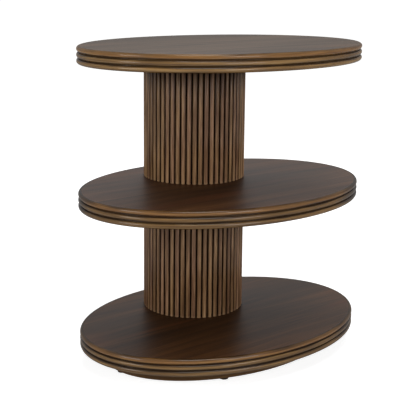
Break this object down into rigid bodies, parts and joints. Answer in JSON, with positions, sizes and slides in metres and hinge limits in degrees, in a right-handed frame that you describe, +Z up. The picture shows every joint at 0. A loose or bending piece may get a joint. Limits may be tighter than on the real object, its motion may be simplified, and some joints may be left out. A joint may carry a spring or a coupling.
{
  "type": "tiered side table",
  "caption": "Oval side table with stacked shelves on reeded drums set towards the back, beaded rims and a recessed plinth on levelling glides.",
  "frame": {"origin": "on the floor under the centre of the oval tiers", "axes": "+Z up; X along the tiers' length; -Y towards the wide, open side of the shelves; the drums stand towards +Y"},
  "size_m": [0.635, 0.468, 0.635],
  "materials": {
    "face_veneer": "dark walnut veneer, satin lacquer, grain along X",
    "backing_veneer": "plain walnut backing veneer, sealed",
    "edge_lipping": "solid walnut beads, satin lacquer with a dark glaze in the grooves",
    "reeds": "walnut slats, satin lacquer",
    "plinth_veneer": "walnut veneer, satin lacquer",
    "panel_board": "raw fibreboard",
    "bent_ply": "raw bent plywood",
    "reed_cloth": "near-black canvas backing",
    "beech_dowel": "fluted beech, raw",
    "zinc_steel": "zinc plated",
    "black_screw": "black phosphate",
    "insert_brass": "turned, bare",
    "black_nylon": "moulded black nylon, matt"
  },
  "bodies": {
    "table": {"base_backing_veneer": "backing_veneer", "base_dowels": "beech_dowel", "base_edge_lipping": "edge_lipping", "base_face_veneer": "face_veneer", "base_panel_core": "panel_board", "glide_inserts": "insert_brass", "lower_drum_cloth": "reed_cloth", "lower_drum_foot_disc": "panel_board", "lower_drum_head_disc": "panel_board", "lower_drum_reeds": "reeds", "lower_drum_shell": "bent_ply", "middle_backing_veneer": "backing_veneer", "middle_edge_lipping": "edge_lipping", "middle_face_veneer": "face_veneer", "middle_lower_dowels": "beech_dowel", "middle_panel_core": "panel_board", "middle_upper_dowels": "beech_dowel", "plinth_ring": "panel_board", "plinth_screws": "black_screw", "plinth_veneer": "plinth_veneer", "tie_rod_inserts": "insert_brass", "tie_rod_nuts": "zinc_steel", "tie_rod_washers": "zinc_steel", "tie_rods": "zinc_steel", "top_backing_veneer": "backing_veneer", "top_dowels": "beech_dowel", "top_edge_lipping": "edge_lipping", "top_face_veneer": "face_veneer", "top_panel_core": "panel_board", "upper_drum_cloth": "reed_cloth", "upper_drum_foot_disc": "panel_board", "upper_drum_head_disc": "panel_board", "upper_drum_reeds": "reeds", "upper_drum_shell": "bent_ply"},
    "glide_1_stem": {"glide_1_stem": "zinc_steel"},
    "glide_1_foot": {"glide_1_foot": "black_nylon"},
    "glide_2_stem": {"glide_2_stem": "zinc_steel"},
    "glide_2_foot": {"glide_2_foot": "black_nylon"},
    "glide_3_stem": {"glide_3_stem": "zinc_steel"},
    "glide_3_foot": {"glide_3_foot": "black_nylon"},
    "glide_4_stem": {"glide_4_stem": "zinc_steel"},
    "glide_4_foot": {"glide_4_foot": "black_nylon"},
    "glide_5_stem": {"glide_5_stem": "zinc_steel"},
    "glide_5_foot": {"glide_5_foot": "black_nylon"},
    "glide_6_stem": {"glide_6_stem": "zinc_steel"},
    "glide_6_foot": {"glide_6_foot": "black_nylon"}
  },
  "joints": [
    {"name": "glide_1_travel", "type": "slide", "parent": "table", "child": "glide_1_stem", "axis": [0, 0, -1], "range_m": [0, 0.01]},
    {"name": "glide_1_turn", "type": "hinge", "parent": "glide_1_stem", "child": "glide_1_foot", "pos_m": [0.2545, 0, 0], "axis": [0, 0, -1], "range_deg": [0, 2880]},
    {"name": "glide_2_travel", "type": "slide", "parent": "table", "child": "glide_2_stem", "axis": [0, 0, -1], "range_m": [0, 0.01]},
    {"name": "glide_2_turn", "type": "hinge", "parent": "glide_2_stem", "child": "glide_2_foot", "pos_m": [0.11948, 0.15098, 0], "axis": [0, 0, -1], "range_deg": [0, 2880]},
    {"name": "glide_3_travel", "type": "slide", "parent": "table", "child": "glide_3_stem", "axis": [0, 0, -1], "range_m": [0, 0.01]},
    {"name": "glide_3_turn", "type": "hinge", "parent": "glide_3_stem", "child": "glide_3_foot", "pos_m": [-0.11948, 0.15098, 0], "axis": [0, 0, -1], "range_deg": [0, 2880]},
    {"name": "glide_4_travel", "type": "slide", "parent": "table", "child": "glide_4_stem", "axis": [0, 0, -1], "range_m": [0, 0.01]},
    {"name": "glide_4_turn", "type": "hinge", "parent": "glide_4_stem", "child": "glide_4_foot", "pos_m": [-0.2545, 0, 0], "axis": [0, 0, -1], "range_deg": [0, 2880]},
    {"name": "glide_5_travel", "type": "slide", "parent": "table", "child": "glide_5_stem", "axis": [0, 0, -1], "range_m": [0, 0.01]},
    {"name": "glide_5_turn", "type": "hinge", "parent": "glide_5_stem", "child": "glide_5_foot", "pos_m": [-0.11948, -0.15098, 0], "axis": [0, 0, -1], "range_deg": [0, 2880]},
    {"name": "glide_6_travel", "type": "slide", "parent": "table", "child": "glide_6_stem", "axis": [0, 0, -1], "range_m": [0, 0.01]},
    {"name": "glide_6_turn", "type": "hinge", "parent": "glide_6_stem", "child": "glide_6_foot", "pos_m": [0.11948, -0.15098, 0], "axis": [0, 0, -1], "range_deg": [0, 2880]}
  ],
  "couplings": [
    {"joint": "glide_1_turn", "follows": "glide_1_travel", "rad_per_m": 5026.5},
    {"joint": "glide_2_turn", "follows": "glide_2_travel", "rad_per_m": 5026.5},
    {"joint": "glide_3_turn", "follows": "glide_3_travel", "rad_per_m": 5026.5},
    {"joint": "glide_4_turn", "follows": "glide_4_travel", "rad_per_m": 5026.5},
    {"joint": "glide_5_turn", "follows": "glide_5_travel", "rad_per_m": 5026.5},
    {"joint": "glide_6_turn", "follows": "glide_6_travel", "rad_per_m": 5026.5}
  ]
}
